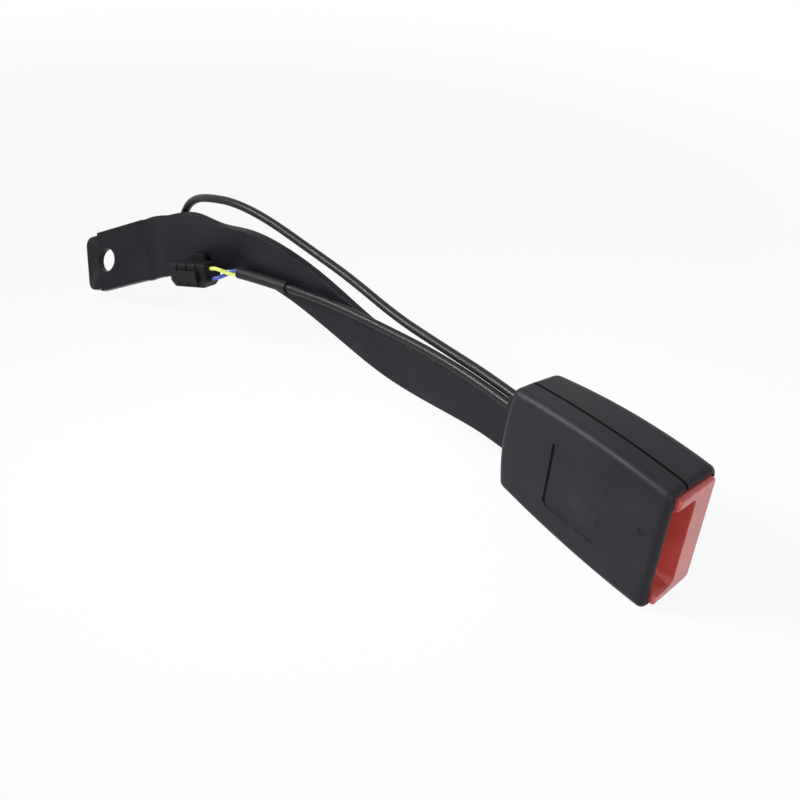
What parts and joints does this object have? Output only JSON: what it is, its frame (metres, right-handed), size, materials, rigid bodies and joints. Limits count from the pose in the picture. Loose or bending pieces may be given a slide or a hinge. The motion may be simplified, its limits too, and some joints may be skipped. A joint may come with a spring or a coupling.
{
  "type": "seat belt buckle",
  "caption": "Rigid-stalk seat belt buckle: black moulded head with red end-release button, formed steel strap with bolt hole, clipped switch lead.",
  "frame": {"origin": "centre of the anchor bolt hole, at mid-thickness of the anchor plate", "axes": "+X along the buckle head, from the anchor end to the release button; +Y from the front cover to the rear cover; +Z across the width of the head"},
  "size_m": [0.3113, 0.0697, 0.0698],
  "materials": {
    "strap_black": "satin black e-coat",
    "cover_black": "fine grain satin",
    "frame_steel": "zinc plated",
    "pin_steel": "satin",
    "latch_steel": "hardened, satin",
    "spring_steel": "satin",
    "button_red": "gloss, slightly translucent",
    "ejector_black": "satin",
    "switch_black": "matt",
    "terminal_brass": "tin flash",
    "grommet_rubber": "matt",
    "lead_black": "satin jacket",
    "sleeve_black": "shrink sleeve, satin",
    "wire_yellow": "satin insulation",
    "wire_blue": "satin insulation",
    "connector_black": "satin",
    "clip_black": "satin"
  },
  "bodies": {
    "buckle": {"stalk_strap": "strap_black", "front_cover": "cover_black", "rear_cover": "cover_black", "buckle_frame": "frame_steel", "strap_rivets": "frame_steel", "latch_pin": "pin_steel", "latch_spring": "spring_steel", "button_spring_low": "spring_steel", "button_spring_high": "spring_steel", "ejector_spring": "spring_steel", "switch_body": "switch_black", "switch_terminals": "terminal_brass", "switch_lever": "spring_steel", "lead_grommet": "grommet_rubber", "lead_a": "lead_black", "lead_a_sleeve": "sleeve_black", "lead_b": "lead_black", "wire_yellow": "wire_yellow", "wire_blue": "wire_blue", "connector_housing": "connector_black", "connector_lock": "connector_black", "connector_terminals": "terminal_brass", "connector_clip": "clip_black"},
    "button": {"release_button": "button_red"},
    "latch": {"latch_pawl": "latch_steel"},
    "ejector": {"ejector": "ejector_black"}
  },
  "joints": [
    {"name": "button_slide", "type": "slide", "parent": "buckle", "child": "button", "axis": [-1, 0, 0], "range_m": [0, 0.0045], "stiffness_N_per_m": 900, "springref_m": -0.003, "deforming": ["button_spring_low", "button_spring_high"]},
    {"name": "latch_hinge", "type": "hinge", "parent": "buckle", "child": "latch", "pos_m": [0.248, 0.0506, 0.0314], "axis": [0, 0, 1], "range_deg": [0, 9], "stiffness_Nm_per_rad": 0.06, "deforming": ["latch_spring"]},
    {"name": "ejector_slide", "type": "slide", "parent": "buckle", "child": "ejector", "axis": [-1, 0, 0], "range_m": [0, 0.01], "stiffness_N_per_m": 350, "springref_m": -0.004, "deforming": ["ejector_spring"]}
  ],
  "couplings": [
    {"joint": "latch_hinge", "follows": "button_slide", "rad_per_m": 34.9}
  ]
}
